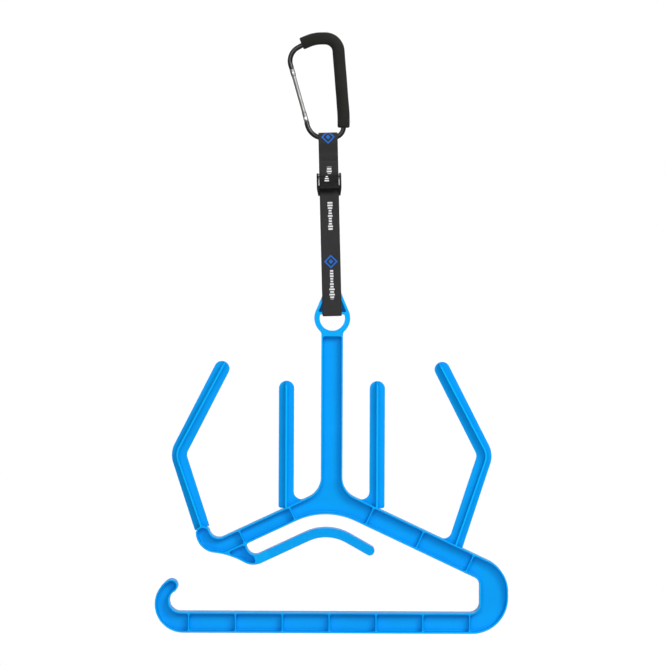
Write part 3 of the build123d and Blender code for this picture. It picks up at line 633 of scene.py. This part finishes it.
def sleeve_ring(centre, normal, radius, run):
    """One ring of the sleeve; its outer skin is slightly uneven."""
    ring = []
    for j in range(SLEEVE_SIDES):
        a = 2 * math.pi * j / SLEEVE_SIDES
        r = radius
        if radius > SLEEVE_R - 1.0:
            r += SKIN_WAVE * noise.noise(Vector((run * 0.06, math.cos(a) * 1.3, math.sin(a) * 1.3)))
            r -= SKIN_SHRINK
        ring.append((centre + normal * r * math.cos(a) + Vector((0, r * math.sin(a), 0))) * MM)
    return ring


def sleeve():
    """Foam tube pushed over the rod, with rounded ends and a slightly uneven skin."""
    line = rounded_path(SLEEVE_LINE)
    lengths, dirs = run_lengths(line), tangents(line)
    whole = lengths[-1]
    stations = list(SLEEVE_END)
    stations += [(run, SLEEVE_R) for run in lengths if SLEEVE_CLEAR < run < whole - SLEEVE_CLEAR]
    stations += [(whole - d, r) for d, r in reversed(SLEEVE_END)]
    rings = []
    for run, radius in stations:
        passed = [i for i, length in enumerate(lengths) if length >= run - SAME_RUN]
        k = max(1, passed[0] if passed else len(lengths) - 1)
        share = (run - lengths[k - 1]) / (lengths[k] - lengths[k - 1])
        p = line[k - 1].lerp(line[k], share)
        t = dirs[k - 1].lerp(dirs[k], share).normalized()
        rings.append(sleeve_ring(Vector((p.x, 0, p.y)), Vector((t.y, 0, -t.x)), radius, run))
    piece = new_piece("foam_sleeve", *skin(rings), foam())
    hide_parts("carabiner_sleeve")
    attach(piece, "carabiner")


sleeve()


# ---------------------------------------------------------------- CAD nodes
def dress(material, *names):
    for name in names:
        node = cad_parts[name]
        node.data.materials.clear()
        node.data.materials.append(material)


ARM = "frame_accessory_arm"
lengths_of_frame = [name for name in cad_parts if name.startswith("frame_") and name != ARM]
pegs = [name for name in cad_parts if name.startswith("peg_")]
small_parts = ["gate_rivet", "gate_latch_pin", "gate_spring", "gate_follower",
               "buckle_bar", "buckle_pin", "buckle_spring"]
# the middle number is the strength of the painted highlight on the crests; the arm gets none
dress(hanger_plastic("hanger_plastic", 0.40, HALF_DEPTH), *lengths_of_frame)
dress(hanger_plastic("peg_plastic", 0.95, PEG_CREST), *pegs)
dress(hanger_plastic("arm_plastic", 0.0, HALF_DEPTH), ARM)
dress(anodised(), "carabiner_body")
dress(bright_metal("gate_metal", GATE_TONES, 0.34, 0.46, GATE_LINES), "carabiner_gate")
dress(bright_metal("small_steel", STEEL_TONES, 0.25, 0.42, SHORT_LINES), *small_parts)
dress(buckle_plastic("buckle_plastic"), "buckle_body")
dress(buckle_plastic("lever_plastic", marked=True), "buckle_lever")


# ---------------------------------------------------------------- studio
SCREEN_HALF, SCREEN_Y = 4.5, 5.0        # half width of the screen and its distance behind the object
SCREEN_LOW, SCREEN_HIGH = -3.6, 3.0
OBJECT_MIDDLE = (0.015, 0.0, -0.40)
OBJECT_FOOT = (0.0, 0.0, -0.76)
ROOM_LIGHT = 0.22
LENS, SENSOR = 135, 36                  # in mm
SEEN = 0.8645                           # width of the view at the object, in metres
CAMERA_X, CAMERA_Z = 0.01484, -0.3740
CAMERA_ROLL = math.radians(0.25)


def studio():
    """An evenly lit white screen, far enough away for a camera at the back to stand before it."""
    sides, levels = (-SCREEN_HALF, SCREEN_HALF), (SCREEN_LOW, SCREEN_HIGH)
    places = [(sides[0], levels[0]), (sides[1], levels[0]), (sides[1], levels[1]), (sides[0], levels[1])]
    corners = [(x, SCREEN_Y, z) for x, z in places]
    new_piece("studio_screen", corners, [(0, 1, 2, 3)], screen_light(), smooth=False)


def area_light(name, place, aim, size, power):
    """Rectangular lamp that faces a point."""
    data = bpy.data.lights.new(name, "AREA")
    data.shape = "RECTANGLE"
    data.size, data.size_y = size
    data.energy = power
    lamp = bpy.data.objects.new(name, data)
    lamp.location = place
    lamp.rotation_euler = (Vector(aim) - Vector(place)).to_track_quat("-Z", "Y").to_euler()
    bpy.context.scene.collection.objects.link(lamp)


def lights():
    """Four soft lamps in front of and above the object, and an even light from all sides."""
    area_light("key", (1.5, -2.0, 0.95), OBJECT_MIDDLE, (1.3, 1.2), 47)
    area_light("front", (-0.5, -3.0, 0.8), OBJECT_MIDDLE, (1.8, 1.5), 36)
    area_light("low", (0.1, -2.0, -1.6), OBJECT_FOOT, (1.4, 0.8), 11)
    area_light("top", (0.1, -0.3, 1.5), OBJECT_MIDDLE, (1.6, 0.9), 6)
    world = bpy.data.worlds.new("soft_room")
    world.use_nodes = True
    background = world.node_tree.nodes["Background"]
    background.inputs["Color"].default_value = (1, 1, 1, 1)
    background.inputs["Strength"].default_value = ROOM_LIGHT
    bpy.context.scene.world = world


def camera():
    """Long lens, level with the middle of the object, rolled by a quarter of a degree."""
    data = bpy.data.cameras.new("camera")
    data.lens, data.sensor_width = LENS, SENSOR
    data.clip_end = 50
    distance = SEEN * LENS / SENSOR
    eye = bpy.data.objects.new("camera", data)
    look = Matrix.Translation((CAMERA_X, -distance, CAMERA_Z)) @ Matrix.Rotation(math.pi / 2, 4, "X")
    eye.matrix_world = look @ Matrix.Rotation(CAMERA_ROLL, 4, "Z")
    bpy.context.scene.collection.objects.link(eye)
    bpy.context.scene.camera = eye


studio()
lights()
camera()
bpy.context.scene.view_settings.view_transform = "Standard"
